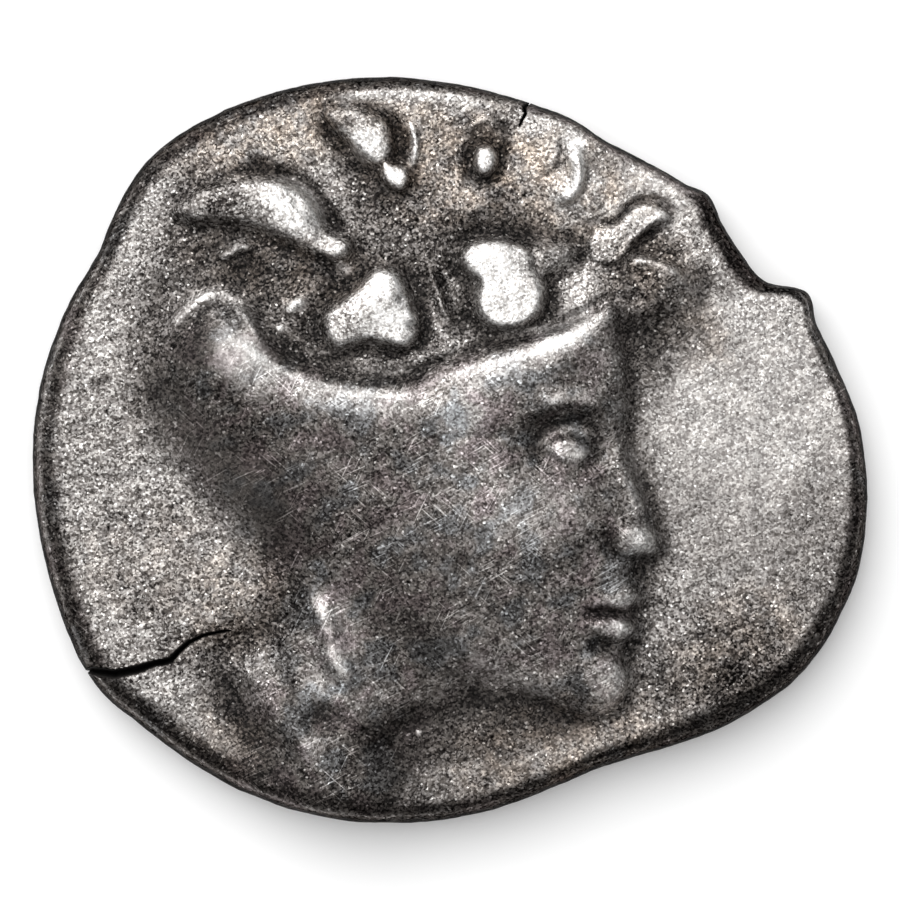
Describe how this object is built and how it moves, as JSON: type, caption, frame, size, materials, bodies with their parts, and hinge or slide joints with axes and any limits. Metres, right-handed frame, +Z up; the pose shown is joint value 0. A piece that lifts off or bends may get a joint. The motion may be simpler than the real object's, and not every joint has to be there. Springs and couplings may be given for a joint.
{
  "type": "tetrobol coin",
  "caption": "Small irregular struck silver coin: wreathed head in high relief on a flat field, worn dished reverse, two edge splits.",
  "frame": {"origin": "middle of the coin's length and breadth, on the surface it lies on", "axes": "+Z up out of the portrait side, +X the way the head faces and along the longest extent, +Y to the top of the portrait"},
  "size_m": [0.015, 0.0134, 0.002],
  "materials": {
    "struck_silver": "struck silver, toned warm grey with dark recesses and brightly worn high points"
  },
  "bodies": {
    "root": {"coin": "struck_silver"}
  },
  "joints": []
}
